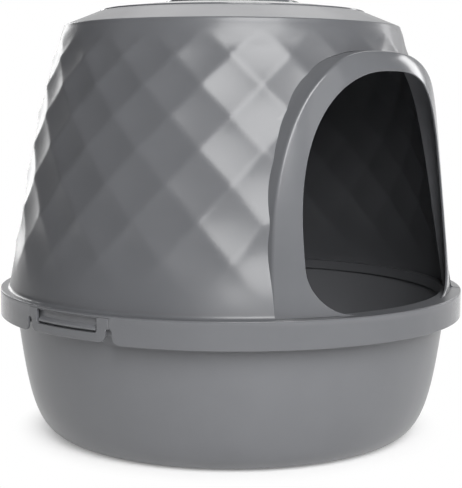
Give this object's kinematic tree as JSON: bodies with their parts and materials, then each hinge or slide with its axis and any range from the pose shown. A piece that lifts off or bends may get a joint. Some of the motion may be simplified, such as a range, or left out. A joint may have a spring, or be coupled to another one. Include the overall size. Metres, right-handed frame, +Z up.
{
  "type": "hooded litter box",
  "caption": "Round hooded cat litter box: deep pan, facetted dome hood with an arched side doorway, side snap loops and a vented lift-off lid with a bail handle.",
  "frame": {"origin": "centre of the box's footprint at floor level, on the axis of the round body", "axes": "+Z up along the body's axis, the doorway faces -Y, +X to the right when facing the doorway"},
  "size_m": [0.5, 0.5, 0.4615],
  "materials": {
    "pan_plastic": "satin moulded polypropylene, mid grey",
    "hood_plastic": "satin moulded polypropylene, mid grey, dished diamonds",
    "trim_plastic": "polished moulded polypropylene, mid grey",
    "lid_plastic": "polished moulded polypropylene, mid grey",
    "handle_plastic": "satin moulded polypropylene, darker grey",
    "tray_plastic": "satin moulded polypropylene, dark grey",
    "filter_foam": "carbon-filled open foam, near black"
  },
  "bodies": {
    "pan": {"litter_pan": "pan_plastic"},
    "hood": {"hood_shell": "hood_plastic", "entry_surround": "trim_plastic"},
    "left_loop": {"left_snap_loop": "trim_plastic"},
    "right_loop": {"right_snap_loop": "trim_plastic"},
    "lid": {"roof_lid": "lid_plastic"},
    "handle": {"lid_handle": "handle_plastic"},
    "tray": {"filter_tray": "tray_plastic", "charcoal_filter": "filter_foam"}
  },
  "joints": [
    {"name": "hood_lift", "type": "slide", "parent": "pan", "child": "hood", "axis": [0, 0, 1], "range_m": [0, 0.15]},
    {"name": "left_loop_flex", "type": "hinge", "parent": "hood", "child": "left_loop", "pos_m": [-0.24966, -0.01308, 0.1541], "axis": [-0.0523, 0.9986, 0], "range_deg": [0, 12], "stiffness_Nm_per_rad": 0.08},
    {"name": "right_loop_flex", "type": "hinge", "parent": "hood", "child": "right_loop", "pos_m": [0.24966, -0.01308, 0.1541], "axis": [-0.0523, -0.9986, 0], "range_deg": [0, 12], "stiffness_Nm_per_rad": 0.08},
    {"name": "lid_lift", "type": "slide", "parent": "hood", "child": "lid", "axis": [0, 0, 1], "range_m": [0, 0.08]},
    {"name": "handle_fold", "type": "hinge", "parent": "lid", "child": "handle", "pos_m": [0, 0, 0.4557], "axis": [1, 0, 0], "range_deg": [0, 180]},
    {"name": "tray_turn", "type": "hinge", "parent": "lid", "child": "tray", "pos_m": [0, 0, 0.44], "axis": [0, 0, 1], "range_deg": [0, 45]}
  ]
}
